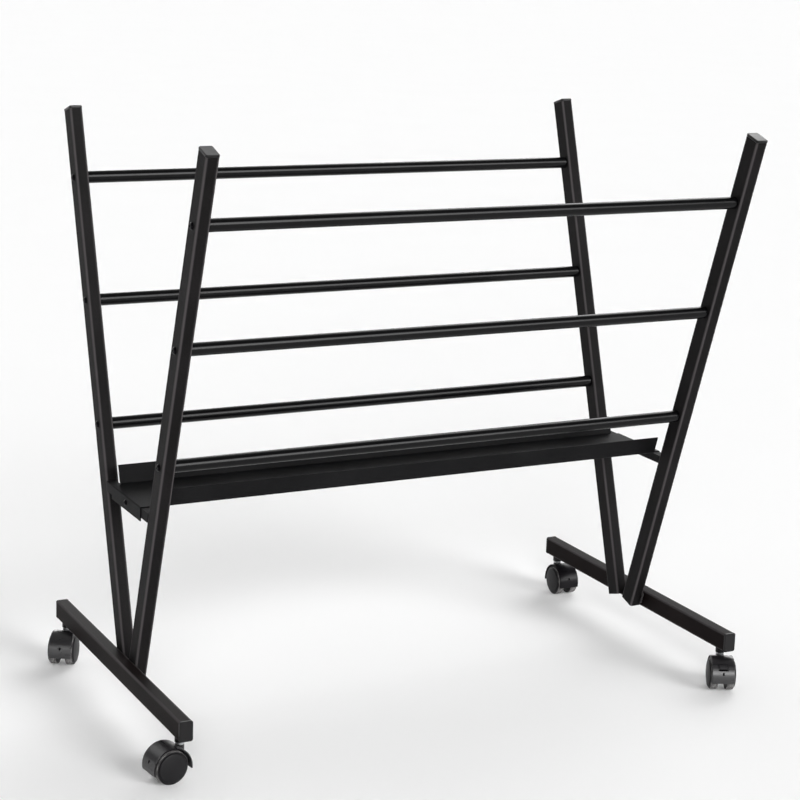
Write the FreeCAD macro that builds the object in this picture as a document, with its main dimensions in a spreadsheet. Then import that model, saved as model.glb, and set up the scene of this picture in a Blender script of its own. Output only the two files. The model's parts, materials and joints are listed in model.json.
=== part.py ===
import FreeCAD, Part
import math
import os
import re
import Sketcher
from FreeCAD import Placement, Rotation, Vector

# Storage cart for drawing boards: a V-shaped rack of steel tube on four twin-wheel castors.
# X runs from left to right, Y from front to back and Z up from the floor under the middle of the cart.

# Driving dimensions, in millimetres and degrees
SIZES = {
    # Rectangular tube of the feet and the uprights
    "tube_width": 20,
    "tube_depth": 30,
    "tube_wall": 1.5,
    "tube_corner": 3,
    # Side frames
    "clear_span": 872,
    "foot_length": 544,
    "upright_length": 860,
    "lean_angle": 17.6,
    "upright_rise": 1.5,
    "upright_spacing": 11.5,
    # Plastic plugs in the tube ends
    "cap_flange": 4.5,
    "cap_overhang": 0.3,
    "cap_plug": 12,
    "cap_edge": 1,
    "cap_seam": 0.8,
    "cap_fit": 0.1,
    # Rails, their threaded inserts and bolts
    "rail_diameter": 19,
    "rail_wall": 1.2,
    "rail_top_margin": 106,
    "rail_pitch": 192,
    "insert_length": 20,
    "bolt_diameter": 6,
    "bolt_grip": 14,
    "bolt_head_diameter": 11,
    "bolt_head_height": 3.2,
    "bolt_dome": 2.2,
    "bolt_socket": 4,
    "bolt_socket_depth": 1.8,
    "bolt_hole_play": 0.2,
    "slip_fit": 0.05,
    # Tray and its brackets
    "tray_height": 341.5,
    "tray_sheet": 1.5,
    "tray_bend": 2,
    "tray_lip": 30,
    "tray_lip_gap": 23.7,
    "tray_lip_relief": 13,
    "tray_flange": 20,
    "tray_flange_relief": 4.5,
    "bracket_leg": 15,
    "bracket_sheet": 2,
    "bracket_fit": 0.1,
    "screw_diameter": 5,
    "screw_head_diameter": 9,
    "screw_head_height": 2.6,
    "screw_dome": 1.8,
    "screw_tail": 1,
    "nut_width": 8,
    "nut_height": 4,
    # Castors
    "castor_height": 62.5,
    "castor_inset": 20.5,
    "trail": 21.5,
    "wheel_diameter": 50,
    "wheel_spacing": 14,
    "wheel_width": 12.3,
    "wheel_edge": 1.5,
    "disc_diameter": 43.6,
    "disc_height": 3.9,
    "disc_shoulder": 1.6,
    "disc_shoulder_height": 1.9,
    "disc_flat": 22,
    "axle_diameter": 6,
    "axle_cover": 5,
    "axle_fit": 0.02,
    "running_fit": 0.05,
    "hood_width": 36.4,
    "hood_gap": 2.1,
    "hood_wall": 1.8,
    "hood_nose": 11.5,
    "hood_base": 18,
    "hood_edge": 0.8,
    "web_gap": 0.6,
    "core_hole_width": 3,
    "core_hole_height": 4.4,
    "core_hole_depth": 5,
    "core_hole_angle": 18,
    "socket_depth": 23,
    "pin_diameter": 8,
    "pin_end_gap": 0.5,
    "thrust_gap": 0.3,
    "stem_diameter": 10,
    "stem_length": 16,
    "stem_flange_diameter": 13,
    "stem_flange_height": 3.5,
    "sleeve_diameter": 13,
    "sleeve_length": 18,
    "collar_diameter": 15,
    "collar_height": 8,
    # Brake pedal, drawn at angles above the axle
    "pedal_width": 15,
    "pedal_proud": 1.4,
    "pedal_tread_gap": 2.6,
    "pedal_edge": 0.5,
    "pedal_side_gap": 0.6,
    "pedal_low_angle": 33.5,
    "pedal_high_angle": 47.5,
    "pedal_low_slack_angle": 6,
    "pedal_high_slack_angle": 2.5,
    "pedal_arm_width": 6,
    "pedal_arm_height": 3.4,
    "pedal_arm_angle": 5,
    "pedal_boss_diameter": 6.4,
    "pedal_pin_diameter": 4,
    "pedal_pin_length": 9.6,
    "pedal_pivot_radius": 18,
    "pedal_pivot_angle": 88,
    # How far each castor is turned about its stem, from trailing to the right
    "left_front_swivel_angle": 188,
    "left_rear_swivel_angle": 238,
    "right_front_swivel_angle": 243,
    "right_rear_swivel_angle": 266,
}

doc = FreeCAD.newDocument("storage_cart")
sheet = doc.addObject("Spreadsheet::Sheet", "Sizes")
for row, (alias, number) in enumerate(SIZES.items(), start=1):
    sheet.set(f"A{row}", alias)
    sheet.set(f"B{row}", str(number))
    sheet.setAlias(f"B{row}", alias)
doc.recompute()

# Formulas worked out from the driving dimensions
UPRIGHT_X = "(clear_span / 2 + tube_width / 2)"
OUTER_FACE_X = "(clear_span / 2 + tube_width)"
FOOT_X = "(clear_span / 2 + 1.5 * tube_width)"
FOOT_Z = "(castor_height + tube_depth / 2)"
STEM_Y = "(foot_length / 2 - castor_inset)"
UPRIGHT_BASE_Y = "(upright_spacing / 2 + tube_depth / 2 * cos(lean_angle))"
UPRIGHT_BASE_Z = "(castor_height + upright_rise + tube_depth / 2 * sin(lean_angle))"
V_CORNER_Z = "(castor_height + upright_rise + tube_depth * sin(lean_angle))"
FLOOR_HALF = (
    f"(upright_spacing / 2 + (tray_height - {V_CORNER_Z}) * tan(lean_angle)"
    " - tray_lip_gap / cos(lean_angle))"
)
FLANGE_HALF = f"({FLOOR_HALF} - tray_flange_relief)"
TRAY_END_X = f"({OUTER_FACE_X} + bracket_fit)"
LIP_END_X = f"({TRAY_END_X} - tray_lip_relief)"
TRAY_SCREW_Z = "(tray_height - (bracket_leg + bracket_sheet) / 2)"
WHEEL_RADIUS = "(wheel_diameter / 2)"
AXLE_RADIUS = "(axle_diameter / 2)"
AXLE_HALF = "(wheel_spacing / 2 + wheel_width + disc_height - axle_cover)"
WEB_HALF = "(wheel_spacing / 2 - web_gap)"
HOOD_RADIUS = "(wheel_diameter / 2 + hood_gap + hood_wall)"
NOSE_RADIUS = "(trail + hood_nose)"
COLLAR_BASE = "(castor_height - collar_height)"
STEM_FLANGE_BASE = "(castor_height - collar_height - stem_flange_height)"
NECK_TOP = f"({STEM_FLANGE_BASE} - thrust_gap)"
SOCKET_END = f"({NECK_TOP} - socket_depth)"
PIN_RADIUS = "(pin_diameter / 2)"
PEDAL_INNER = f"({WHEEL_RADIUS} + pedal_tread_gap)"
PEDAL_OUTER = f"({HOOD_RADIUS} + pedal_proud)"
PEDAL_PIVOT_X = "(trail + pedal_pivot_radius * cos(pedal_pivot_angle))"
PEDAL_PIVOT_Z = f"({WHEEL_RADIUS} + pedal_pivot_radius * sin(pedal_pivot_angle))"

SIDES = {"left": -1, "right": 1}
ENDS = {"front": -1, "rear": 1}
RAIL_LEVELS = {"bottom": 2, "middle": 1, "top": 0}
BRAKED_CASTOR = "right_front_castor"
pieces = []


def formula(text):
    """Point each size named in the text at its cell of the sheet."""
    return re.sub(r"[a-z][a-z_]*", lambda word: f"Sizes.{word[0]}" if word[0] in SIZES else word[0], text)


def value(text):
    """Number that a formula gives at present."""
    return float(sheet.evalExpression(formula(text)))


def bind(thing, **formulas):
    """Bind properties of an object to formulas."""
    for name, text in formulas.items():
        thing.setExpression(name, formula(text))


def place(thing, x="0", y="0", z="0", axis=(0, 0, 1), angle="0"):
    """Place an object by formulas, turned about one axis."""
    thing.Placement = Placement(Vector(), Rotation(Vector(*axis), 1))
    for letter, text in zip("xyz", (x, y, z)):
        thing.setExpression(f"Placement.Base.{letter}", formula(text))
    thing.setExpression("Placement.Rotation.Angle", formula(angle))
    return thing


def keep(thing, label):
    """Make an object a piece of the cart, under its own name."""
    thing.Label = label
    pieces.append(thing)
    return thing


def new_body(name):
    return doc.addObject("PartDesign::Body", name)


def new_sketch(body, name, plane, **offset):
    """Sketch on one of the body's own planes, shifted by formulas."""
    sketch = body.newObject("Sketcher::SketchObject", name)
    support = next(item for item in body.Origin.OriginFeatures if item.Role == plane)
    sketch.AttachmentSupport = [(support, "")]
    sketch.MapMode = "FlatFace"
    for letter, text in offset.items():
        sketch.setExpression(f"AttachmentOffset.Base.{letter}", formula(text))
    return sketch


def dimension(sketch, kind, *where, text):
    """Add a dimension and bind it to a formula."""
    index = sketch.addConstraint(Sketcher.Constraint(kind, *where, value(text)))
    sketch.setExpression(f"Constraints[{index}]", formula(text))


def outline(body, name, plane, points, **offset):
    """Closed outline. A point is (x, y), or (x, y, radius) where an arc runs on to the next point."""
    sketch = new_sketch(body, name, plane, **offset)
    spots = [Vector(value(point[0]), value(point[1]), 0) for point in points]
    ends = []
    for index, point in enumerate(points):
        start, stop = spots[index], spots[(index + 1) % len(spots)]
        if len(point) == 2:
            ends.append((sketch.addGeometry(Part.LineSegment(start, stop)), 1, 2))
            continue
        radius = value(point[2])
        chord = stop - start
        rise = math.sqrt(radius ** 2 - chord.Length ** 2 / 4)
        centre = (start + stop) / 2 + Vector(-chord.y, chord.x, 0).normalize() * rise
        angles = [math.atan2(spot.y - centre.y, spot.x - centre.x) for spot in (start, stop)]
        arc = sketch.addGeometry(Part.ArcOfCircle(Part.Circle(centre, Vector(0, 0, 1), radius), *angles))
        dimension(sketch, "Radius", arc, text=point[2])
        ends.append((arc, 1, 2))
    for index, (line, first, last) in enumerate(ends):
        follower, follower_first, _ = ends[(index + 1) % len(ends)]
        sketch.addConstraint(Sketcher.Constraint("Coincident", line, last, follower, follower_first))
        dimension(sketch, "DistanceX", line, first, text=points[index][0])
        dimension(sketch, "DistanceY", line, first, text=points[index][1])
    return sketch


def rectangle(body, name, plane, x_low, x_high, y_low, y_high, **offset):
    corners = [(x_low, y_low), (x_high, y_low), (x_high, y_high), (x_low, y_high)]
    return outline(body, name, plane, corners, **offset)


def centred_rectangle(body, name, plane, width, depth, **offset):
    half_width, half_depth = f"({width}) / 2", f"({depth}) / 2"
    return rectangle(
        body, name, plane, f"-{half_width}", half_width, f"-{half_depth}", half_depth, **offset
    )


def circles(body, name, plane, radius, centres, **offset):
    sketch = new_sketch(body, name, plane, **offset)
    for x, y in centres:
        middle = Vector(value(x), value(y), 0)
        ring = sketch.addGeometry(Part.Circle(middle, Vector(0, 0, 1), value(radius)))
        dimension(sketch, "Radius", ring, text=radius)
        dimension(sketch, "DistanceX", ring, 3, text=x)
        dimension(sketch, "DistanceY", ring, 3, text=y)
    return sketch


def extrude(body, kind, name, sketch, length, symmetric=False, reversed_way=False):
    """Pad or Pocket a sketch by a formula."""
    feature = body.newObject(f"PartDesign::{kind}", name)
    feature.Profile = sketch
    feature.SideType = "Symmetric" if symmetric else "One side"
    feature.Reversed = reversed_way
    bind(feature, Length=length)
    return feature


def revolve(body, kind, name, sketch, down="360", up=None):
    """Revolution or Groove about the sketch's own upright axis."""
    feature = body.newObject(f"PartDesign::{kind}", name)
    feature.Profile = sketch
    feature.ReferenceAxis = (sketch, ["V_Axis"])
    if up:
        feature.Type = "TwoAngles"
        bind(feature, Angle2=up)
    bind(feature, Angle=down)
    return feature


def dress(body, kind, name, chosen, **size):
    """Fillet or Chamfer on those edges of the body that the test picks out."""
    doc.recompute()
    base = body.Tip
    names = [f"Edge{count}" for count, edge in enumerate(base.Shape.Edges, 1) if chosen(edge)]
    feature = body.newObject(f"PartDesign::{kind}", name)
    feature.Base = (base, names)
    bind(feature, **size)


def fillet(body, name, radius, chosen):
    dress(body, "Fillet", name, chosen, Radius=radius)


def chamfer(body, name, size, chosen):
    dress(body, "Chamfer", name, chosen, Size=size)


def middle_of(edge):
    return edge.valueAt((edge.FirstParameter + edge.LastParameter) / 2)


def runs_along(edge, direction):
    if edge.Curve.TypeId != "Part::GeomLine":
        return False
    return abs(edge.tangentAt(edge.FirstParameter).dot(Vector(*direction))) > 0.999


def near(first, second):
    return abs(first - second) < 0.01


# Tubes and caps

def tube(label, length):
    """Rectangular tube that stands on its lower end, with rounded corners."""
    body = new_body(label)
    section = centred_rectangle(body, "Section", "XY_Plane", "tube_width", "tube_depth")
    extrude(body, "Pad", "Tube", section, length)
    fillet(body, "Corners", "tube_corner", lambda edge: runs_along(edge, (0, 0, 1)))
    inside = centred_rectangle(
        body, "Inside", "XY_Plane", "tube_width - 2 * tube_wall", "tube_depth - 2 * tube_wall"
    )
    extrude(body, "Pocket", "Hollow", inside, length, reversed_way=True)
    return keep(body, label)


def foot(side, sign):
    """Foot tube, lying from front to back, with a hole in its underside for each castor."""
    body = tube(f"{side}_foot_tube", "foot_length")
    holes = circles(
        body, "StemHoles", "XZ_Plane", "sleeve_diameter / 2 + slip_fit",
        [("0", "castor_inset"), ("0", "foot_length - castor_inset")],
    )
    extrude(body, "Pocket", "StemBores", holes, "tube_depth", reversed_way=True)
    place(body, f"{sign} * {FOOT_X}", "foot_length / 2", FOOT_Z, (1, 0, 0), "90")


def rail_along(level):
    """How far up the upright a rail is, from the number of rails above it."""
    return f"(upright_length - rail_top_margin - {level} * rail_pitch)"


def upright(side, end, x_sign, y_sign):
    """Upright, leaning out of the V, with a bolt hole right through it at each rail."""
    body = tube(f"{side}_{end}_upright", "upright_length")
    heights = [("0", rail_along(level)) for level in RAIL_LEVELS.values()]
    holes = circles(body, "BoltHoles", "YZ_Plane", "bolt_diameter / 2 + bolt_hole_play", heights)
    extrude(body, "Pocket", "BoltBores", holes, "2 * tube_width", symmetric=True)
    place(
        body, f"{x_sign} * {UPRIGHT_X}", f"{y_sign} * {UPRIGHT_BASE_Y}", UPRIGHT_BASE_Z,
        (1, 0, 0), f"{-y_sign} * lean_angle",
    )


def cap(label):
    """Plastic plug: a flange a little larger than the tube, bevelled above and below, and a shank."""
    body = new_body(label)
    flange = centred_rectangle(
        body, "Flange", "XY_Plane", "tube_width + 2 * cap_overhang", "tube_depth + 2 * cap_overhang"
    )
    extrude(body, "Pad", "FlangePad", flange, "cap_flange")
    fillet(body, "Corners", "tube_corner + cap_overhang", lambda edge: runs_along(edge, (0, 0, 1)))
    chamfer(body, "Edge", "cap_edge", lambda edge: near(middle_of(edge).z, value("cap_flange")))
    chamfer(body, "Seam", "cap_seam", lambda edge: near(middle_of(edge).z, 0))
    shank = centred_rectangle(
        body, "Shank", "XY_Plane",
        "tube_width - 2 * tube_wall - 2 * cap_fit", "tube_depth - 2 * tube_wall - 2 * cap_fit",
    )
    extrude(body, "Pad", "ShankPad", shank, "cap_plug", reversed_way=True)
    return keep(body, label)


def side_frame(side, x_sign):
    """One side of the cart: the foot, its two uprights and the plugs in all their ends."""
    foot(side, x_sign)
    for end, y_sign in ENDS.items():
        place(
            cap(f"{side}_{end}_foot_cap"), f"{x_sign} * {FOOT_X}", f"{y_sign} * foot_length / 2",
            FOOT_Z, (1, 0, 0), f"{-y_sign} * 90",
        )
        upright(side, end, x_sign, y_sign)
        place(
            cap(f"{side}_{end}_top_cap"), f"{x_sign} * {UPRIGHT_X}",
            f"{y_sign} * ({UPRIGHT_BASE_Y} + upright_length * sin(lean_angle))",
            f"{UPRIGHT_BASE_Z} + upright_length * cos(lean_angle)",
            (1, 0, 0), f"{-y_sign} * lean_angle",
        )


# Rails and their fasteners

def cylinder(name, radius, height):
    thing = doc.addObject("Part::Cylinder", name)
    bind(thing, Radius=radius, Height=height)
    return thing


def cut(base, tool, name):
    result = doc.addObject("Part::Cut", name)
    result.Base = base
    result.Tool = tool
    return result


def group(label, members):
    """Identical small pieces as separate solids under one name."""
    compound = doc.addObject("Part::Compound", label)
    compound.Links = members
    keep(compound, label)


def button_bolt(name, shank, size, head, height, dome, socket, socket_depth):
    """Button-head bolt along +Z, head above its seat at zero and shank below, with a hexagon socket."""
    body = new_body(name)
    profile = [
        ("0", f"-({shank})"),
        (f"{size} / 2", f"-({shank})"),
        (f"{size} / 2", "0"),
        (f"{head} / 2", "0"),
        (f"{head} / 2", f"{height} - {dome}"),
        (f"{head} / 2 - {dome}", height),
        ("0", height),
    ]
    revolve(body, "Revolution", "Turned", outline(body, "Profile", "XZ_Plane", profile))
    across = f"{socket} / 2"
    corner = f"{socket} / sqrt(3)"
    hexagon = [
        (corner, "0"), (f"{corner} / 2", across), (f"-{corner} / 2", across),
        (f"-{corner}", "0"), (f"-{corner} / 2", f"-{across}"), (f"{corner} / 2", f"-{across}"),
    ]
    socket_sketch = outline(body, "Socket", "XY_Plane", hexagon, z=height)
    extrude(body, "Pocket", "SocketCut", socket_sketch, socket_depth)
    return body


def rail_height(level):
    """Reach and height of a rail's axis, up the middle of the uprights."""
    along = rail_along(level)
    reach = f"({UPRIGHT_BASE_Y} + {along} * sin(lean_angle))"
    return reach, f"({UPRIGHT_BASE_Z} + {along} * cos(lean_angle))"


def rails():
    """Six tube rails, bolted between the uprights through threaded inserts in their ends."""
    inserts, bolts = [], []
    for end, y_sign in ENDS.items():
        for level_name, level in RAIL_LEVELS.items():
            reach, height = rail_height(level)
            reach = f"{y_sign} * {reach}"
            outer = cylinder("RailOutside", "rail_diameter / 2", "clear_span")
            inner = cylinder("RailInside", "rail_diameter / 2 - rail_wall", "clear_span")
            rail = keep(cut(outer, inner, "Rail"), f"{end}_{level_name}_rail")
            place(rail, "-clear_span / 2", reach, height, (0, 1, 0), "90")
            for side, x_sign in SIDES.items():
                plug = cylinder("InsertPlug", "rail_diameter / 2 - rail_wall - slip_fit", "insert_length")
                bore = cylinder("InsertBore", "bolt_diameter / 2 + slip_fit", "insert_length")
                insert = cut(plug, bore, "RailInsert")
                place(insert, f"{x_sign} * clear_span / 2", reach, height, (0, 1, 0), f"{-x_sign} * 90")
                inserts.append(insert)
                bolt = button_bolt(
                    "RailBolt", "tube_width + bolt_grip", "bolt_diameter", "bolt_head_diameter",
                    "bolt_head_height", "bolt_dome", "bolt_socket", "bolt_socket_depth",
                )
                place(bolt, f"{x_sign} * {OUTER_FACE_X}", reach, height, (0, 1, 0), f"{x_sign} * 90")
                bolts.append(bolt)
    group("rail_inserts", inserts)
    group("rail_bolts", bolts)


# Tray and brackets

def bracket(side, x_sign):
    """Steel angle from the front to the rear upright, its ends cut to their lean, under the tray."""
    body = new_body(f"{side}_tray_bracket")
    low = "(tray_height - bracket_leg)"

    def face_y(height):
        return f"(upright_spacing / 2 + ({height} - {V_CORNER_Z}) * tan(lean_angle))"

    side_view = [
        (f"-{face_y('tray_height')}", "tray_height"), (f"-{face_y(low)}", low),
        (face_y(low), low), (face_y("tray_height"), "tray_height"),
    ]
    extrude(body, "Pad", "Bar", outline(body, "SideView", "YZ_Plane", side_view), "bracket_leg")
    inside = rectangle(
        body, "Inside", "XZ_Plane", "bracket_sheet", "2 * bracket_leg",
        "tray_height - 2 * bracket_leg", "tray_height - bracket_sheet",
    )
    extrude(body, "Pocket", "AngleCut", inside, f"4 * {face_y('tray_height')}", symmetric=True)
    hole = circles(
        body, "ScrewHole", "YZ_Plane", "screw_diameter / 2 + bolt_hole_play", [("0", TRAY_SCREW_Z)]
    )
    extrude(body, "Pocket", "ScrewBore", hole, "2 * bracket_leg", symmetric=True)
    keep(body, f"{side}_tray_bracket")
    place(body, f"{x_sign} * {OUTER_FACE_X}", angle="0" if x_sign < 0 else "180")


def tray():
    """Bent sheet: a floor, a lip along the front and the back, and a flange turned down at each end."""
    body = new_body("tray")
    lip_y = f"({FLOOR_HALF} + tray_lip * sin(lean_angle))"
    lip_z = "(tray_height + tray_lip * cos(lean_angle))"
    inner_lip_y = f"({lip_y} - tray_sheet * cos(lean_angle))"
    inner_lip_z = f"({lip_z} + tray_sheet * sin(lean_angle))"
    inner_floor_y = f"({FLOOR_HALF} + tray_sheet * tan(lean_angle) - tray_sheet / cos(lean_angle))"
    floor_top = "(tray_height + tray_sheet)"
    half = [
        (FLOOR_HALF, "tray_height"), (lip_y, lip_z), (inner_lip_y, inner_lip_z), (inner_floor_y, floor_top),
    ]
    trough = half + [(f"-{y}", z) for y, z in reversed(half)]
    extrude(
        body, "Pad", "Trough", outline(body, "TroughSection", "YZ_Plane", trough), f"2 * {LIP_END_X}",
        symmetric=True,
    )
    bends = {
        "OuterBends": ("tray_bend + tray_sheet", FLOOR_HALF, "tray_height"),
        "InnerBends": ("tray_bend", inner_floor_y, floor_top),
    }
    for name, (radius, y, z) in bends.items():
        at_y, at_z = value(y), value(z)
        fillet(
            body, name, radius,
            lambda edge: runs_along(edge, (1, 0, 0))
            and near(abs(middle_of(edge).y), at_y) and near(middle_of(edge).z, at_z),
        )
    low = "(tray_height - tray_flange)"
    outer_x = f"({TRAY_END_X} + tray_sheet)"
    half = [(outer_x, floor_top), (outer_x, low), (TRAY_END_X, low), (TRAY_END_X, "tray_height")]
    channel = half + [(f"-{x}", z) for x, z in reversed(half)]
    extrude(
        body, "Pad", "Channel", outline(body, "ChannelSection", "XZ_Plane", channel),
        f"2 * {FLANGE_HALF}", symmetric=True,
    )
    end_x = value(outer_x)
    fillet(
        body, "EndBends", "tray_bend",
        lambda edge: runs_along(edge, (0, 1, 0))
        and near(abs(middle_of(edge).x), end_x) and near(middle_of(edge).z, value(floor_top)),
    )
    hole = circles(
        body, "ScrewHoles", "YZ_Plane", "screw_diameter / 2 + bolt_hole_play", [("0", TRAY_SCREW_Z)]
    )
    extrude(body, "Pocket", "ScrewBores", hole, f"4 * {TRAY_END_X}", symmetric=True)
    keep(body, "tray")


def tray_fasteners():
    """A screw and a nut at each end, through the tray's flange and the bracket."""
    screws, nuts = [], []
    for side, x_sign in SIDES.items():
        screw = button_bolt(
            "TrayScrew", "tray_sheet + bracket_fit + bracket_sheet + nut_height + screw_tail",
            "screw_diameter", "screw_head_diameter", "screw_head_height", "screw_dome",
            "bolt_socket", "bolt_socket_depth",
        )
        seat = f"({TRAY_END_X} + tray_sheet)"
        place(screw, f"{x_sign} * {seat}", "0", TRAY_SCREW_Z, (0, 1, 0), f"{x_sign} * 90")
        screws.append(screw)
        prism = doc.addObject("Part::Prism", "NutPrism")
        prism.Polygon = 6
        bind(prism, Circumradius="nut_width / sqrt(3)", Height="nut_height")
        nut = cut(prism, cylinder("NutBore", "screw_diameter / 2 + slip_fit", "nut_height"), "TrayNut")
        inner_face = f"({OUTER_FACE_X} - bracket_sheet)"
        place(nut, f"{x_sign} * {inner_face}", "0", TRAY_SCREW_Z, (0, 1, 0), f"{-x_sign} * 90")
        nuts.append(nut)
    group("tray_screws", screws)
    group("tray_nuts", nuts)


# Castors. Each is drawn about its stem, with the wheels trailing along +X, and then turned.

def stem(name):
    """Turned steel stem: a thread, a bright flange under the collar, and the pin that the hood turns on."""
    body = new_body(name)
    pin_end = f"({SOCKET_END} + pin_end_gap)"
    thread_end = "(castor_height + stem_length)"
    profile = [
        ("0", pin_end), (PIN_RADIUS, pin_end), (PIN_RADIUS, STEM_FLANGE_BASE),
        ("stem_flange_diameter / 2", STEM_FLANGE_BASE), ("stem_flange_diameter / 2", COLLAR_BASE),
        ("stem_diameter / 2", COLLAR_BASE), ("stem_diameter / 2", thread_end), ("0", thread_end),
    ]
    revolve(body, "Revolution", "Turned", outline(body, "Profile", "XZ_Plane", profile))
    return keep(body, name)


def sleeve(name):
    """Threaded sleeve set in the foot's underside, with a black collar below it."""
    body = new_body(name)
    bore = "(stem_diameter / 2 + slip_fit)"
    top = "(castor_height + sleeve_length)"
    profile = [
        (bore, COLLAR_BASE), ("collar_diameter / 2", COLLAR_BASE), ("collar_diameter / 2", "castor_height"),
        ("sleeve_diameter / 2", "castor_height"), ("sleeve_diameter / 2", top), (bore, top),
    ]
    revolve(body, "Revolution", "Turned", outline(body, "Profile", "XZ_Plane", profile))
    return body


def hood_side(body, name, inset, base):
    """Side view of the hood: an arc over the wheels, and a wider one round the stem."""
    back, nose = f"({HOOD_RADIUS} - {inset})", f"({NOSE_RADIUS} - {inset})"
    back_x = f"trail + sqrt({back}^2 - ({WHEEL_RADIUS} - {base})^2)"
    nose_x = f"trail - sqrt({nose}^2 - ({WHEEL_RADIUS} + {HOOD_RADIUS} - {NOSE_RADIUS} - {base})^2)"
    points = [(back_x, base, back), ("trail", f"{WHEEL_RADIUS} + {back}", nose), (nose_x, base)]
    return outline(body, name, "XZ_Plane", points)


def about_axle(radius, angle):
    """Point in the castor's side view, by radius and angle about the axle."""
    return f"trail + ({radius}) * cos({angle})", f"{WHEEL_RADIUS} + ({radius}) * sin({angle})"


def hood(name, braked):
    """Moulded hood: a shell over both wheels, a web between them, and the neck that holds the stem."""
    body = new_body(name)
    shell = hood_side(body, "ShellSide", "0", "hood_base")
    extrude(body, "Pad", "Shell", shell, "hood_width", symmetric=True)
    half_width = value("hood_width / 2")
    chamfer(
        body, "RimEdges", "hood_edge",
        lambda edge: edge.Curve.TypeId == "Part::GeomCircle" and near(abs(middle_of(edge).y), half_width),
    )
    space = hood_side(body, "WheelSpaceSide", "hood_wall", "(hood_base - hood_wall)")
    extrude(body, "Pocket", "WheelSpace", space, "2 * hood_width", symmetric=True)
    web = hood_side(body, "WebSide", "hood_wall / 2", "(hood_base + hood_wall)")
    extrude(body, "Pad", "Web", web, f"2 * {WEB_HALF}", symmetric=True)
    neck = circles(body, "NeckSection", "XY_Plane", WEB_HALF, [("0", "0")], z=SOCKET_END)
    extrude(body, "Pad", "Neck", neck, "socket_depth")
    pin_bore = circles(
        body, "PinSection", "XY_Plane", f"{PIN_RADIUS} + running_fit", [("0", "0")], z=NECK_TOP
    )
    extrude(body, "Pocket", "PinBore", pin_bore, "socket_depth")
    axle_bore = circles(
        body, "AxleSection", "XZ_Plane", f"{AXLE_RADIUS} + axle_fit", [("trail", WHEEL_RADIUS)]
    )
    extrude(body, "Pocket", "AxleBore", axle_bore, "wheel_spacing", symmetric=True)
    _, hole_z = about_axle(HOOD_RADIUS, "core_hole_angle")
    hole = rectangle(
        body, "CoreHoleSection", "YZ_Plane", "-core_hole_width / 2", "core_hole_width / 2",
        f"{hole_z} - core_hole_height / 2", f"{hole_z} + core_hole_height / 2", z=f"trail + {HOOD_RADIUS}",
    )
    extrude(body, "Pocket", "CoreHole", hole, "core_hole_depth")
    if braked:
        pedal_window(body)
    return keep(body, name)


def pedal_window(body):
    """Window for the pedal in the hood's back, a slot for its arm in the web, and the bore for its pin."""
    low, high = "pedal_low_angle - pedal_low_slack_angle", "pedal_high_angle + pedal_high_slack_angle"
    inner = f"({HOOD_RADIUS} - 2 * hood_wall)"
    outer = f"({PEDAL_OUTER} + hood_wall)"
    window = [
        about_axle(inner, low), about_axle(outer, low), about_axle(outer, high), about_axle(inner, high),
    ]
    extrude(
        body, "Pocket", "PedalWindow", outline(body, "WindowSide", "XZ_Plane", window),
        "pedal_width + 2 * pedal_side_gap", symmetric=True,
    )
    room = "(pedal_boss_diameter / 2 + pedal_side_gap)"
    slot_end = f"({HOOD_RADIUS} - hood_wall)"
    slot = [
        (f"{PEDAL_PIVOT_X} - {room}", f"{PEDAL_PIVOT_Z} - {room}"), about_axle(slot_end, low),
        about_axle(slot_end, f"{high} + pedal_arm_angle"),
        (f"{PEDAL_PIVOT_X} - {room}", f"{PEDAL_PIVOT_Z} + {room}"),
    ]
    extrude(
        body, "Pocket", "ArmSlot", outline(body, "SlotSide", "XZ_Plane", slot),
        "pedal_arm_width + 2 * pedal_side_gap", symmetric=True,
    )
    bore = circles(
        body, "PedalPinSection", "XZ_Plane", "pedal_pin_diameter / 2 + running_fit",
        [(PEDAL_PIVOT_X, PEDAL_PIVOT_Z)],
    )
    extrude(body, "Pocket", "PedalPinBore", bore, "wheel_spacing", symmetric=True)


def pedal(name):
    """Brake pedal: a curved plate over both treads, on an arm that turns about a pin in the hood's web."""
    body = new_body(name)
    plate = [
        about_axle(PEDAL_INNER, "pedal_low_angle"),
        (*about_axle(PEDAL_OUTER, "pedal_low_angle"), PEDAL_OUTER),
        about_axle(PEDAL_OUTER, "pedal_high_angle"),
        about_axle(PEDAL_INNER, "pedal_high_angle"),
    ]
    extrude(
        body, "Pad", "Plate", outline(body, "PlateSide", "XZ_Plane", plate), "pedal_width", symmetric=True
    )
    axle_x, axle_z, reach = value("trail"), value(WHEEL_RADIUS), value(PEDAL_OUTER)
    chamfer(
        body, "PlateEdges", "pedal_edge",
        lambda edge: near(math.hypot(middle_of(edge).x - axle_x, middle_of(edge).z - axle_z), reach),
    )
    middle = "(pedal_low_angle + pedal_high_angle) / 2"
    root = f"({PEDAL_INNER} + {PEDAL_OUTER}) / 2"
    arm = [
        (PEDAL_PIVOT_X, f"{PEDAL_PIVOT_Z} - pedal_arm_height / 2"),
        about_axle(root, f"{middle} - pedal_arm_angle / 2"),
        about_axle(root, f"{middle} + pedal_arm_angle / 2"),
        (PEDAL_PIVOT_X, f"{PEDAL_PIVOT_Z} + pedal_arm_height / 2"),
    ]
    extrude(
        body, "Pad", "Arm", outline(body, "ArmSide", "XZ_Plane", arm), "pedal_arm_width", symmetric=True
    )
    pivot = [(PEDAL_PIVOT_X, PEDAL_PIVOT_Z)]
    boss = circles(body, "BossSection", "XZ_Plane", "pedal_boss_diameter / 2", pivot)
    extrude(body, "Pad", "Boss", boss, "pedal_arm_width", symmetric=True)
    pin = circles(body, "PinSection", "XZ_Plane", "pedal_pin_diameter / 2", pivot)
    extrude(body, "Pad", "Pin", pin, "pedal_pin_length", symmetric=True)
    return keep(body, name)


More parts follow.
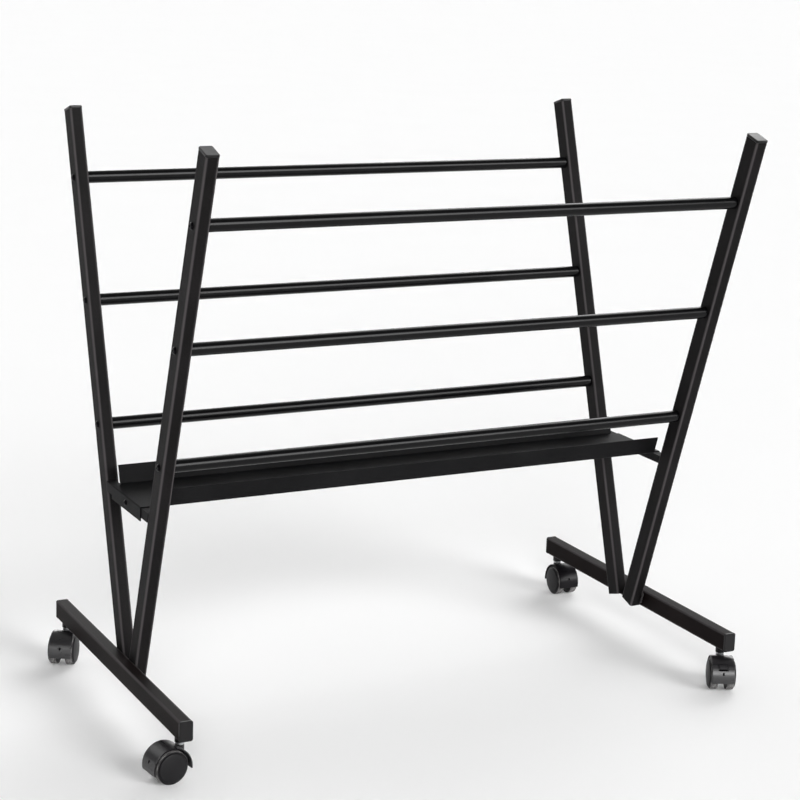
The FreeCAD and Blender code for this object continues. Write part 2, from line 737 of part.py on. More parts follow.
def axle(name):
    """Plain steel axle, held in the web, with a wheel on each end."""
    body = new_body(name)
    section = rectangle(
        body, "Section", "XY_Plane", "0", AXLE_RADIUS, f"-{AXLE_HALF}", AXLE_HALF, x="trail", z=WHEEL_RADIUS
    )
    revolve(body, "Revolution", "Turned", section)
    return keep(body, name)


def wheel(name, y_sign):
    """Moulded wheel: a tread with a bevelled outer edge, a raised disc and a blind hub for the axle."""
    body = new_body(name)

    def across(distance):
        return f"{y_sign} * (wheel_spacing / 2 + {distance})"

    bore = f"({AXLE_RADIUS} + running_fit)"
    bore_end = f"{y_sign} * ({AXLE_HALF} + running_fit)"
    disc_face = across("wheel_width + disc_height")
    profile = [
        (bore, across("0")),
        (WHEEL_RADIUS, across("0")),
        (WHEEL_RADIUS, across("wheel_width - wheel_edge")),
        (f"{WHEEL_RADIUS} - wheel_edge", across("wheel_width")),
        ("disc_diameter / 2", across("wheel_width")),
        ("disc_diameter / 2 - disc_shoulder", across("wheel_width + disc_shoulder_height")),
        ("disc_flat / 2", disc_face),
        ("0", disc_face),
        ("0", bore_end),
        (bore, bore_end),
    ]
    section = outline(body, "Section", "XY_Plane", profile, x="trail", z=WHEEL_RADIUS)
    revolve(body, "Revolution", "Moulded", section)
    return keep(body, name)


def castors():
    """Four castors, turned as they came to rest, one of them with a brake pedal."""
    sleeves = []
    for side, x_sign in SIDES.items():
        for end, y_sign in ENDS.items():
            name = f"{side}_{end}_castor"
            spot = (f"{x_sign} * {FOOT_X}", f"{y_sign} * {STEM_Y}")
            sleeves.append(place(sleeve(f"{name}_sleeve"), *spot))
            place(stem(f"{name}_stem"), *spot)
            braked = name == BRAKED_CASTOR
            turned = [hood(f"{name}_hood", braked), axle(f"{name}_axle")]
            turned.append(wheel(f"{name}_left_wheel", 1))
            turned.append(wheel(f"{name}_right_wheel", -1))
            if braked:
                turned.append(pedal(f"{name}_brake_pedal"))
            for piece in turned:
                place(piece, *spot, angle=f"{side}_{end}_swivel_angle")
    group("stem_sleeves", sleeves)


for side, x_sign in SIDES.items():
    side_frame(side, x_sign)
    bracket(side, x_sign)
rails()
tray()
tray_fasteners()
castors()
doc.recompute()

# Every object has to be sound before anything is written
for item in doc.Objects:
    if {"Invalid", "Error"} & set(item.State):
        raise RuntimeError(f"{item.Label} failed: {item.State}")
for piece in pieces:
    if piece.Shape.isNull() or not piece.Shape.isValid() or not piece.Shape.Solids:
        raise RuntimeError(f"{piece.Label} has no sound solid")

os.makedirs("parts", exist_ok=True)
for piece in pieces:
    piece.Shape.exportStep(f"parts/{piece.Label}.step")
print(f"{len(pieces)} pieces, {sum(len(piece.Shape.Solids) for piece in pieces)} solids")
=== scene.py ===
# %% [markdown]
# # A drawing board storage cart
# The real cart is a V-shaped rack: bent sheet and steel tube under one coat of black powder, plastic
# plugs in the tube ends, and four twin-wheel castors. Its solids come from the CAD model, already in
# place and in metres, so this lesson is about finishes, the finer shape of wheels and welds, light and
# camera.

# %% Load the solids
import json
import math

import bmesh
import bpy
from mathutils import Matrix, Vector


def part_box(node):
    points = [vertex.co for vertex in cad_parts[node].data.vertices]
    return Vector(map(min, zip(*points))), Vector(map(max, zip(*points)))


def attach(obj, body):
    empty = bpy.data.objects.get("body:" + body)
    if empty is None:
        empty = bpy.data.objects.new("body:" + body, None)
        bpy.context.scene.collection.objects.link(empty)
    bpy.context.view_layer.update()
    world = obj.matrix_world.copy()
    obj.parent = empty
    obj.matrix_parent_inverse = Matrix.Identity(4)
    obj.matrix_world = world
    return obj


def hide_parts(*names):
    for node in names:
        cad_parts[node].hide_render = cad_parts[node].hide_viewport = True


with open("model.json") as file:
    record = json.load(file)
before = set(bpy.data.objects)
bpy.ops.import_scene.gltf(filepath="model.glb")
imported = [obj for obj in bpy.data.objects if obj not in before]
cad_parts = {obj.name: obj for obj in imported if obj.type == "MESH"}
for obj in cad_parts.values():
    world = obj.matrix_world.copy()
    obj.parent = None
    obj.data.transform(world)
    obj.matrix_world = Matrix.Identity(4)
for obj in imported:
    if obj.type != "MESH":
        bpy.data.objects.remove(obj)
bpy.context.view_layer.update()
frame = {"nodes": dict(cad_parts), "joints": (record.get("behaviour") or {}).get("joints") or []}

# %% [markdown]
# ## Helpers
# Paint is given as sRGB hex, but shaders reckon in linear light, so one function converts it.
# Another adds a shader node, sets its properties and fills its sockets. Writing nodes out by hand
# would take four lines each; one general helper keeps every finish readable as a list of layers. Two
# short ones start a material and put it on the solids that share it.

# %% Helpers for colour and nodes
MM = 0.001


def linear(hex_colour):
    """Turn an sRGB hex colour into the linear RGBA that shaders take, by the standard's own curve."""
    channels = [int(hex_colour[place:place + 2], 16) / 255 for place in (1, 3, 5)]
    return (*(c / 12.92 if c <= 0.04045 else ((c + 0.055) / 1.055) ** 2.4 for c in channels), 1.0)


def add_node(owner, kind, sockets, **settings):
    """Add a node to a material or a world. A socket takes a value or another node's output."""
    node = owner.node_tree.nodes.new(f"ShaderNode{kind}")
    for name, setting in settings.items():
        setattr(node, name, setting)
    for socket, source in sockets.items():
        if isinstance(source, bpy.types.NodeSocket):
            owner.node_tree.links.new(source, node.inputs[socket])
        else:
            node.inputs[socket].default_value = source
    return node


def new_finish(name):
    """A new material and its main shader."""
    material = bpy.data.materials.new(name)
    material.use_nodes = True
    return material, material.node_tree.nodes["Principled BSDF"]


def coat(node_names, material):
    """Put one finish on several solids."""
    for name in node_names:
        slots = frame["nodes"][name].data.materials
        slots.clear()
        slots.append(material)
    print(material.name, "on", len(node_names), "solids")


print("half grey in linear light:", round(linear("#808080")[0], 4))

# %% [markdown]
# ## Satin black powder coat
# The tubes, brackets and tray are sprayed with dry powder that melts into a skin about 0.1 mm thick.
# It gives the eye a soft satin sheen, broken up by orange peel: shallow lumps a millimetre or so apart.
# Thickness also drifts over a hand's width, so the black isn't quite even, and grains that melted late
# leave specks in the gloss. A painted bump image could show that, but noise needs no picture and wraps
# round corners without a seam. The real lumps and specks are finer than a pixel, so they are drawn three
# times as wide. Matting grit in the powder scatters most of what a bare resin would mirror, so the
# gleam is far below the shader's usual 0.5.

# %% Powder coat on tray and brackets
PEEL_SIZE = 3.6 * MM
SPECK_SIZE = 1.4 * MM
DRIFT_SIZE = 90 * MM
PEEL_DEPTH = 0.3 * MM
NOISE_LOW, NOISE_HIGH = 0.3, 0.7  # noise hardly ever leaves this range
DRIFT_LOW, DRIFT_HIGH = 0.12, 0.42  # two noises multiplied together mostly stay between these
SPECK_SHINE, SPECK_DULL = 0.05, 0.06  # how far the specks move the roughness down and up
RESIN_IOR = 1.5


def powder_coat(name, dark, light, roughness, peel, gleam=0.07):
    """Powder coat: drifting black, peel in the bump and fine specks in the gloss."""
    material, shader = new_finish(name)
    spot = add_node(material, "TexCoord", {}).outputs["Object"]
    drift = add_node(material, "TexNoise", {"Vector": spot, "Scale": 1 / DRIFT_SIZE, "Detail": 2.0})
    specks = add_node(material, "TexNoise", {"Vector": spot, "Scale": 1 / SPECK_SIZE, "Detail": 1.0})
    lumps = add_node(material, "TexNoise", {"Vector": spot, "Scale": 1 / PEEL_SIZE, "Detail": 2.0})
    blend = add_node(material, "Math", {
        0: drift.outputs["Fac"], 1: specks.outputs["Fac"],
    }, operation="MULTIPLY")
    tone = add_node(material, "ValToRGB", {"Fac": blend.outputs["Value"]})
    low_end, high_end = tone.color_ramp.elements
    low_end.position, high_end.position = DRIFT_LOW, DRIFT_HIGH
    low_end.color, high_end.color = linear(dark), linear(light)
    gloss = add_node(material, "MapRange", {
        "Value": specks.outputs["Fac"], "From Min": NOISE_LOW, "From Max": NOISE_HIGH,
        "To Min": roughness - SPECK_SHINE, "To Max": roughness + SPECK_DULL,
    })
    skin = add_node(material, "Bump", {
        "Height": lumps.outputs["Fac"], "Strength": peel, "Distance": PEEL_DEPTH,
    })
    links = material.node_tree.links
    links.new(tone.outputs["Color"], shader.inputs["Base Color"])
    links.new(gloss.outputs["Result"], shader.inputs["Roughness"])
    links.new(skin.outputs["Normal"], shader.inputs["Normal"])
    shader.inputs["IOR"].default_value = RESIN_IOR
    shader.inputs["Specular IOR Level"].default_value = gleam
    return material


SIDES = ("left", "right")
sheet_coat = powder_coat("powder_coated_sheet_steel", "#0e0e0f", "#181819", roughness=0.56, peel=0.2)
coat(["tray", *(f"{side}_tray_bracket" for side in SIDES)], sheet_coat)

# %% [markdown]
# ## Painted highlights on the tube corners
# A pale line is painted along each rounded corner of a tube: a painted highlight, where a lamp would
# glint on the curve, and it tells the eye where the tube was bent. The renderer's bevel shader could find
# the corners, but a tube is just a box, so plain arithmetic finds them in any renderer: a point near two
# neighbouring sides at once is near a corner. The cart is the same left and right, front and back, so
# folding space into one quarter lets one finish serve four leaning uprights. The highlight on a real
# corner is about two millimetres wide, hardly more than a pixel, so it is drawn twice as wide.

# %% Powder coat on uprights and feet
TUBE_WIDTH, TUBE_DEPTH = 20 * MM, 30 * MM
LEAN = math.radians(17.6)
BAND_WIDTH, BAND_CORE = 4.2 * MM, 1.0 * MM
# colour of the painted highlight along the tube corners
CORNER_HIGHLIGHT_COLOUR = "#474445"
# A mix node has sockets of the same name for each type of data, so the colour ones go by place.
COLOUR_A, COLOUR_B, COLOUR_OUT = 6, 7, 2
ENDS = ("front", "rear")


def paint_corner_highlight(material, tube, lean):
    """Paint a highlight into a powder coat where two sides of a tube meet."""
    low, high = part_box(tube)
    spot = add_node(material, "TexCoord", {}).outputs["Object"]
    quarter = add_node(material, "VectorMath", {0: spot}, operation="ABSOLUTE")
    about = add_node(material, "Mapping", {
        "Vector": quarter.outputs["Vector"], "Location": (low + high) / 2, "Rotation": (-lean, 0, 0),
    }, vector_type="TEXTURE")
    folded = add_node(material, "VectorMath", {0: about.outputs["Vector"]}, operation="ABSOLUTE")
    inside = add_node(material, "VectorMath", {
        0: folded.outputs["Vector"], 1: (TUBE_WIDTH / 2, TUBE_DEPTH / 2, 0),
    }, operation="SUBTRACT")
    sides = add_node(material, "SeparateXYZ", {"Vector": inside.outputs["Vector"]})
    nearness = add_node(material, "Math", {
        0: sides.outputs["X"], 1: sides.outputs["Y"],
    }, operation="MINIMUM")
    highlight_band = add_node(material, "MapRange", {
        "Value": nearness.outputs["Value"], "From Min": -BAND_WIDTH, "From Max": -BAND_CORE,
    }, interpolation_type="SMOOTHSTEP")
    shader = material.node_tree.nodes["Principled BSDF"]
    black = shader.inputs["Base Color"].links[0].from_socket
    # the painted corner highlight is mixed into the black
    tone = add_node(material, "Mix", {
        "Factor": highlight_band.outputs["Result"], COLOUR_A: black, COLOUR_B: linear(CORNER_HIGHLIGHT_COLOUR),
    }, data_type="RGBA")
    material.node_tree.links.new(tone.outputs[COLOUR_OUT], shader.inputs["Base Color"])
    return material


upright_coat = powder_coat("powder_coated_upright_tube", "#0e0d0d", "#1a1819", roughness=0.56, peel=0.18)
paint_corner_highlight(upright_coat, "right_rear_upright", LEAN)
coat([f"{side}_{end}_upright" for side in SIDES for end in ENDS], upright_coat)
foot_coat = powder_coat(
    "powder_coated_foot_tube", "#0f0a0a", "#1b1414", roughness=0.5, peel=0.18, gleam=0.04,
)
paint_corner_highlight(foot_coat, "right_foot_tube", math.pi / 2)
coat([f"{side}_foot_tube" for side in SIDES], foot_coat)

# %% [markdown]
# ## The rails
# The rails wear the same powder, but thin round tube is drawn smooth before it is coated and takes
# a tighter skin, so a rail shows one long, fairly sharp highlight on a deeper black. Only values
# change: less peel, more gloss and a darker tone, so the same recipe serves.

# %% Powder coat on the rails
LEVELS = ("bottom", "middle", "top")
rail_coat = powder_coat(
    "powder_coated_drawn_rail", "#070708", "#0d0d0e", roughness=0.2, peel=0.06, gleam=0.16,
)
coat([f"{end}_{level}_rail" for end in ENDS for level in LEVELS], rail_coat)

# %% [markdown]
# ## Moulded polyethylene
# The plugs in the tube ends and the collars over the castors are injection moulded polyethylene. The
# mould is spark eroded, which leaves a fine, even grain, a little glossier than powder. Noise could draw
# the grain, but the cells of a Voronoi pattern are as even in size as spark marks. Real grain is about
# 0.1 mm, far below a pixel, so it is drawn at 1.6 mm, with soft blotches where the melt cooled.

# %% Polyethylene on plugs and collars
GRAIN_SIZE, GRAIN_DEPTH = 1.6 * MM, 0.1 * MM
BLOTCH_SIZE = 14 * MM
POLYETHYLENE_IOR = 1.51
PLASTIC_GLEAM = 0.22  # a fine grain scatters more than half of the usual 0.5
polyethylene, shader = new_finish("moulded_black_polyethylene")
spot = add_node(polyethylene, "TexCoord", {}).outputs["Object"]
grain = add_node(polyethylene, "TexVoronoi", {
    "Vector": spot, "Scale": 1 / GRAIN_SIZE,
}, feature="SMOOTH_F1")
blotch = add_node(polyethylene, "TexNoise", {"Vector": spot, "Scale": 1 / BLOTCH_SIZE, "Detail": 3.0})
tone = add_node(polyethylene, "Mix", {
    "Factor": blotch.outputs["Fac"], COLOUR_A: linear("#111011"), COLOUR_B: linear("#1c1b1c"),
}, data_type="RGBA")
gloss = add_node(polyethylene, "MapRange", {
    "Value": blotch.outputs["Fac"], "From Min": NOISE_LOW, "From Max": NOISE_HIGH,
    "To Min": 0.3, "To Max": 0.4,
})
skin = add_node(polyethylene, "Bump", {
    "Height": grain.outputs["Distance"], "Strength": 0.12, "Distance": GRAIN_DEPTH,
})
links = polyethylene.node_tree.links
links.new(tone.outputs[COLOUR_OUT], shader.inputs["Base Color"])
links.new(gloss.outputs["Result"], shader.inputs["Roughness"])
links.new(skin.outputs["Normal"], shader.inputs["Normal"])
shader.inputs["IOR"].default_value = POLYETHYLENE_IOR
shader.inputs["Specular IOR Level"].default_value = PLASTIC_GLEAM
plugs = [f"{side}_{end}_{place}_cap" for side in SIDES for end in ENDS for place in ("foot", "top")]
coat([*plugs, "stem_sleeves"], polyethylene)

# %% [markdown]
# ## Directions of a castor
# The marks on a moulding follow its mould, so on a castor they follow the axle, and each castor is turned
# differently. Marks laid out in the room's directions would run askew. An empty at each castor could
# carry the coordinates, but the wheel's joint already holds the axle's place and direction, so a mapping
# node takes them from there.

# %% Castor coordinates
joint_of = {joint["child"]: joint for joint in frame["joints"]}
castors = [f"{side}_{end}_castor" for side in SIDES for end in ENDS]


def castor_space(material, castor):
    """Coordinates about one castor's axle: x to the rear, y along the axle and z up, in metres."""
    spin = joint_of[f"{castor}_left_wheel"]
    turn = math.atan2(spin["axis"][1], spin["axis"][0]) - math.pi / 2
    spot = add_node(material, "TexCoord", {}).outputs["Object"]
    about = add_node(material, "Mapping", {
        "Vector": spot, "Location": spin["pos_m"], "Rotation": (0, 0, turn),
    }, vector_type="TEXTURE")
    return about.outputs["Vector"]


# %% [markdown]
# ## Moulded nylon hoods and pedal
# A castor's hood is nylon, and so is the brake pedal of the one that has it. The mould closes along the
# middle of the hood, so a fine parting line runs over its back, and the melt flows away from there,
# which leaves faint streaks across the barrel, a couple of millimetres wide. Only the outer half of the
# mould is polished: inside, and in the slots, the nylon is dull. A second material on the inner faces could
# show that, but distance from the axle tells inside from outside in one. Dust and handling have left
# each hood with a polish of its own, so each castor gets its own copy of the finish.

# %% Nylon on hoods and pedal
STREAK_WIDTH = 2.2 * MM
STREAK_LENGTH = 30 * MM
PARTING_WIDTH = 0.7 * MM
SKIN_LIFT = 0.15 * MM  # height of grain and parting line
NYLON_IOR = 1.53
HOOD_RADIUS, SKIN_DEPTH = 28.9 * MM, 1.2 * MM
SLOT_GLEAM = 0.04
HOOD_GLEAM = {
    "left_front_castor": 0.5, "left_rear_castor": 0.9,
    "right_front_castor": 0.85, "right_rear_castor": 0.12,
}


def hood_nylon(castor):
    """Nylon, polished outside, with streaks along the axle and a parting line over the middle."""
    material, shader = new_finish(f"moulded_black_nylon_{castor}_hood")
    spot = castor_space(material, castor)
    across = add_node(material, "SeparateXYZ", {"Vector": spot}).outputs["Y"]
    flat = add_node(material, "VectorMath", {0: spot, 1: (1, 0, 1)}, operation="MULTIPLY")
    radius = add_node(material, "VectorMath", {0: flat.outputs["Vector"]}, operation="LENGTH")
    polish = add_node(material, "MapRange", {
        "Value": radius.outputs["Value"], "From Min": HOOD_RADIUS - SKIN_DEPTH,
        "From Max": HOOD_RADIUS - SKIN_DEPTH / 3, "To Min": SLOT_GLEAM, "To Max": HOOD_GLEAM[castor],
    })
    stretched = add_node(material, "Mapping", {
        "Vector": spot, "Scale": (1 / STREAK_WIDTH, 1 / STREAK_LENGTH, 1 / STREAK_WIDTH),
    })
    streaks = add_node(material, "TexNoise", {
        "Vector": stretched.outputs["Vector"], "Scale": 1.0, "Detail": 2.0,
    })
    grain = add_node(material, "TexNoise", {"Vector": spot, "Scale": 1 / GRAIN_SIZE, "Detail": 1.0})
    on_line = add_node(material, "Math", {0: across, 1: 0.0, 2: PARTING_WIDTH}, operation="COMPARE")
    height = add_node(material, "Math", {
        0: grain.outputs["Fac"], 1: on_line.outputs["Value"],
    }, operation="ADD")
    tone = add_node(material, "Mix", {
        "Factor": streaks.outputs["Fac"], COLOUR_A: linear("#0d0c0e"), COLOUR_B: linear("#1a181b"),
    }, data_type="RGBA")
    gloss = add_node(material, "MapRange", {
        "Value": streaks.outputs["Fac"], "From Min": NOISE_LOW, "From Max": NOISE_HIGH,
        "To Min": 0.25, "To Max": 0.37,
    })
    skin = add_node(material, "Bump", {
        "Height": height.outputs["Value"], "Strength": 0.15, "Distance": SKIN_LIFT,
    })
    links = material.node_tree.links
    links.new(tone.outputs[COLOUR_OUT], shader.inputs["Base Color"])
    links.new(gloss.outputs["Result"], shader.inputs["Roughness"])
    links.new(skin.outputs["Normal"], shader.inputs["Normal"])
    links.new(polish.outputs["Result"], shader.inputs["Specular IOR Level"])
    shader.inputs["IOR"].default_value = NYLON_IOR
    return material


for castor in castors:
    covered = [f"{castor}_hood"]
    if f"{castor}_brake_pedal" in frame["nodes"]:
        covered.append(f"{castor}_brake_pedal")
    coat(covered, hood_nylon(castor))

# %% [markdown]
# ## Moulded nylon wheels
# The wheels are nylon too. Their covers show the faint rings of a mould that was turned on a lathe,
# while the treads have lost their gloss to the floor, and pale grey is painted into scuffs that run round
# the wheel: partly dust, partly a painted reflection of the white floor. A pattern that goes round has to
# be centred on the axle, so the same castor coordinates serve: the distance from the axle draws the rings
# and tells tread from cover, and the angle about it carries the scuffs, each about a centimetre long.
# Real turning marks are some 0.2 mm apart, finer than a pixel, so here they are four times that.

# %% Nylon for wheels
RING_SPACING = 0.8 * MM
TREAD_RADIUS = 24.2 * MM
TREAD_FADE = 0.4 * MM
SCUFF_LENGTH, SCUFF_WIDTH = 9 * MM, 1.3 * MM
# where the scuffs turn pale: partly dust, partly a painted reflection of the floor
BARE_BELOW, DUSTY_ABOVE = 0.34, 0.68  # noise levels between which dust thickens
RING_DEPTH = 0.05 * MM


def wheel_nylon(castor):
    """Nylon with turned rings on the cover, and a scuffed tread painted pale with dust and a painted floor
    reflection.
    """
    material, shader = new_finish(f"moulded_black_nylon_{castor}_wheels")
    spot = castor_space(material, castor)
    place = add_node(material, "SeparateXYZ", {"Vector": spot})
    flat = add_node(material, "VectorMath", {0: spot, 1: (1, 0, 1)}, operation="MULTIPLY")
    distance = add_node(material, "VectorMath", {0: flat.outputs["Vector"]}, operation="LENGTH")
    radius = distance.outputs["Value"]
    phase = add_node(material, "Math", {0: radius, 1: 2 * math.pi / RING_SPACING}, operation="MULTIPLY")
    rings = add_node(material, "Math", {0: phase.outputs["Value"]}, operation="SINE")
    tread = add_node(material, "MapRange", {
        "Value": radius, "From Min": TREAD_RADIUS - TREAD_FADE, "From Max": TREAD_RADIUS + TREAD_FADE,
    })
    angle = add_node(material, "Math", {
        0: place.outputs["Z"], 1: place.outputs["X"],
    }, operation="ARCTAN2")
    rolled = add_node(material, "CombineXYZ", {"X": angle.outputs["Value"], "Y": place.outputs["Y"]})
    stretched = add_node(material, "VectorMath", {
        0: rolled.outputs["Vector"], 1: (TREAD_RADIUS / SCUFF_LENGTH, 1 / SCUFF_WIDTH, 1),
    }, operation="MULTIPLY")
    scuffs = add_node(material, "TexNoise", {
        "Vector": stretched.outputs["Vector"], "Scale": 1.0, "Detail": 4.0,
    })
    patches = add_node(material, "MapRange", {
        "Value": scuffs.outputs["Fac"], "From Min": BARE_BELOW, "From Max": DUSTY_ABOVE,
    })
    dust_and_sheen = add_node(material, "Math", {
        0: tread.outputs["Result"], 1: patches.outputs["Result"],
    }, operation="MULTIPLY")
    # pale grey on the tread: dust, and a painted reflection of the white floor
    tone = add_node(material, "Mix", {
        "Factor": dust_and_sheen.outputs["Value"], COLOUR_A: linear("#100f11"), COLOUR_B: linear("#8a8887"),
    }, data_type="RGBA")
    gloss = add_node(material, "MapRange", {"Value": dust_and_sheen.outputs["Value"], "To Min": 0.48, "To Max": 0.64})
    skin = add_node(material, "Bump", {
        "Height": rings.outputs["Value"], "Strength": 0.06, "Distance": RING_DEPTH,
    })
    links = material.node_tree.links
    links.new(tone.outputs[COLOUR_OUT], shader.inputs["Base Color"])
    links.new(gloss.outputs["Result"], shader.inputs["Roughness"])
    links.new(skin.outputs["Normal"], shader.inputs["Normal"])
    shader.inputs["IOR"].default_value = NYLON_IOR
    shader.inputs["Specular IOR Level"].default_value = PLASTIC_GLEAM
    return material


wheel_finish = {castor: wheel_nylon(castor) for castor in castors}
print("wheel finishes", len(wheel_finish))

# %% [markdown]
# ## The shape of a wheel
# Such a wheel is two mouldings: the wheel with its tread, and a domed cover that snaps onto the outer
# face and hides the hub. The solid model draws the dome as a plain cone, and the eye can tell: a cone
# breaks the light in hard steps, a dome carries one soft crescent round its shoulder. So each wheel is
# turned once more, as on a lathe: one fine profile swept about the axle. A subdivision surface could
# round off a coarse wheel, but it would melt the groove between tread and cover too. The profile is a
# list of pairs, radius and depth from the wheel's inner face, in millimetres.

# %% The wheel's profile
WHEEL_RADIUS, TREAD_WIDTH = 25, 12.3
BORE_RADIUS, BORE_DEPTH = 3.05, 11.25
CROWN_MIDDLE, CROWN_REACH, CROWN_DROP = 5.5, 4.8, 0.12
CROWN_DEPTHS = (2.5, 4, 5.5, 7, 8.5)
INNER_ROUND, OUTER_ROUND = 1.2, 2.0
SHOULDER_MIDDLE, SHOULDER_ROUND, SHOULDER_TURN = (20.3, 12.642), 1.5, 77.7
COVER_TOP, COVER_RISE, COVER_RADIUS, COVER_POWER = 16.2, 2.0, 20.2, 2.2
DOME_EDGE, DOME_STEPS = 20.62, 19
GATE_RADIUS, GATE_DEPTH, GATE_RIM, GATE_SLOPE = 1.3, 0.3, 0.01, 0.15


def arc(centre, radius, start, stop, steps):
    """Points on an arc, by angles in degrees, as pairs of radius and depth."""
    angles = [math.radians(start + (stop - start) * step / steps) for step in range(steps + 1)]
    return [(centre[0] + radius * math.cos(a), centre[1] + radius * math.sin(a)) for a in angles]


def cover_depth(radius):
    """Depth of the domed cover's outside at a radius."""
    return COVER_TOP - COVER_RISE * (radius / COVER_RADIUS) ** COVER_POWER


bore = [(0, BORE_DEPTH), (BORE_RADIUS, BORE_DEPTH), (BORE_RADIUS, 0)]
rim = WHEEL_RADIUS - CROWN_DROP
inner_round = arc((rim - INNER_ROUND, INNER_ROUND), INNER_ROUND, start=-90, stop=0, steps=5)
crown = [(WHEEL_RADIUS - CROWN_DROP * ((d - CROWN_MIDDLE) / CROWN_REACH) ** 2, d) for d in CROWN_DEPTHS]
outer_middle = (rim - OUTER_ROUND, TREAD_WIDTH - OUTER_ROUND)
outer_round = arc(outer_middle, OUTER_ROUND, start=0, stop=90, steps=8)
groove = [(22.5, TREAD_WIDTH), (22.35, 11.8), (21.95, 11.8), (21.8, 12.2)]
shoulder = arc(SHOULDER_MIDDLE, SHOULDER_ROUND, start=0, stop=SHOULDER_TURN, steps=9)
dome = [(DOME_EDGE - step, cover_depth(DOME_EDGE - step)) for step in range(1, DOME_STEPS + 1)]
gate_floor = COVER_TOP - GATE_DEPTH
gate = [(GATE_RADIUS, COVER_TOP - GATE_RIM), (GATE_RADIUS - GATE_SLOPE, gate_floor), (0, gate_floor)]
wheel_profile = [*bore, *inner_round, *crown, *outer_round, *groove, *shoulder, *dome, *gate]
print("points in the profile", len(wheel_profile))

# %% [markdown]
# ## Turning the wheels
# A screw modifier could sweep the profile, but it would need eight turned axes set up by hand. Here the
# axle's place and direction come from each wheel's own joint, so the sweep is a few lines of
# arithmetic, and the wheel turns true when the joint does. Each turned wheel takes its solid's place.

# %% Turn the wheels
INNER_FACE = 7.0  # millimetres from the middle of the castor to a wheel's inner face
WHEEL_STEPS = 112
CREASE = math.radians(32)  # a sharper fold than this stays a hard edge


def turn_wheel(castor, hand, outwards):
    """Sweep the profile round one wheel's axle."""
    spin = joint_of[f"{castor}_{hand}_wheel"]
    axle, middle = Vector(spin["axis"]).normalized(), Vector(spin["pos_m"])
    ahead, above = axle.cross(Vector((0, 0, 1))), Vector((0, 0, 1))
    mesh = bmesh.new()
    rows = []
    for radius, depth in wheel_profile:
        foot = middle + axle * outwards * (INNER_FACE + depth) * MM
        turns = [2 * math.pi * step / WHEEL_STEPS for step in range(WHEEL_STEPS if radius else 1)]
        rows.append([mesh.verts.new(foot + (ahead * math.cos(t) + above * math.sin(t)) * radius * MM)
                     for t in turns])
    for row, following in zip(rows, rows[1:]):
        for step in range(WHEEL_STEPS):
            after = (step + 1) % WHEEL_STEPS
            if len(row) == 1:
                mesh.faces.new((row[0], following[step], following[after]))
            elif len(following) == 1:
                mesh.faces.new((row[step], following[0], row[after]))
            else:
                mesh.faces.new((row[step], following[step], following[after], row[after]))
    bmesh.ops.recalc_face_normals(mesh, faces=mesh.faces)
    data = bpy.data.meshes.new(f"{castor}_{hand}_turned_wheel")
    mesh.to_mesh(data)
    mesh.free()
    data.shade_smooth()
    data.set_sharp_from_angle(angle=CREASE)
    data.materials.append(wheel_finish[castor])
    wheel = bpy.data.objects.new(data.name, data)
    bpy.context.scene.collection.objects.link(wheel)
    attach(wheel, f"{castor}_{hand}_wheel")
    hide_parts(f"{castor}_{hand}_wheel")
    return wheel


for castor in castors:
    wheels = [turn_wheel(castor, hand, outwards) for hand, outwards in (("left", 1), ("right", -1))]
    print(castor, "wheels of", len(wheels[0].data.polygons), "faces")

# %% [markdown]
# ## Bright zinc plate
# The castor stems, axles, rail inserts and tray nuts are turned steel, zinc plated and passivated
# clear. What shows is a bright ring under each collar. The plate keeps the turning marks round the
# part and clouds slightly, so bands along the height go into the bump, and a soft cloud into the
# gloss. A picture of brushed metal would have to be wrapped round each part, while a wave along the
# height runs round all upright ones by itself. Real marks are about 0.2 mm apart, far below a pixel, so
# these are drawn 3 mm apart. Metals keep the default IOR, because their colour already says how they
# reflect.

# %% Zinc plate on stems, axles, inserts and nuts
TURNING_SPACING, TURNING_DEPTH = 3.1416 * MM, 0.05 * MM
WAVE_RATE = 20  # a wave texture multiplies its scale by this, and counts in radians
CLOUD_SIZE = 6 * MM
zinc, shader = new_finish("turned_zinc_plated_steel")
spot = add_node(zinc, "TexCoord", {}).outputs["Object"]
bands = add_node(zinc, "TexWave", {
    "Vector": spot, "Scale": 2 * math.pi / (WAVE_RATE * TURNING_SPACING), "Distortion": 0.4,
}, bands_direction="Z")
cloud = add_node(zinc, "TexNoise", {"Vector": spot, "Scale": 1 / CLOUD_SIZE, "Detail": 3.0})
tone = add_node(zinc, "Mix", {
    "Factor": cloud.outputs["Fac"], COLOUR_A: linear("#9a9c9e"), COLOUR_B: linear("#c2c4c5"),
}, data_type="RGBA")
gloss = add_node(zinc, "MapRange", {"Value": cloud.outputs["Fac"], "To Min": 0.38, "To Max": 0.55})
skin = add_node(zinc, "Bump", {
    "Height": bands.outputs["Fac"], "Strength": 0.1, "Distance": TURNING_DEPTH,
})
links = zinc.node_tree.links
links.new(tone.outputs[COLOUR_OUT], shader.inputs["Base Color"])
links.new(gloss.outputs["Result"], shader.inputs["Roughness"])
links.new(skin.outputs["Normal"], shader.inputs["Normal"])
shader.inputs["Metallic"].default_value = 1.0
bright = [f"{castor}_{piece}" for castor in castors for piece in ("stem", "axle")]
coat([*bright, "rail_inserts", "tray_nuts"], zinc)

# %% [markdown]
# ## Blackened screws
# The button heads are steel, blackened in hot salts and oiled. The black is a thin oxide, so the metal
# still glints through it: a dark metal, with a gloss in patches a few millimetres wide, where the oil has
# dried. A black paint would be simpler, but would hide the glint.

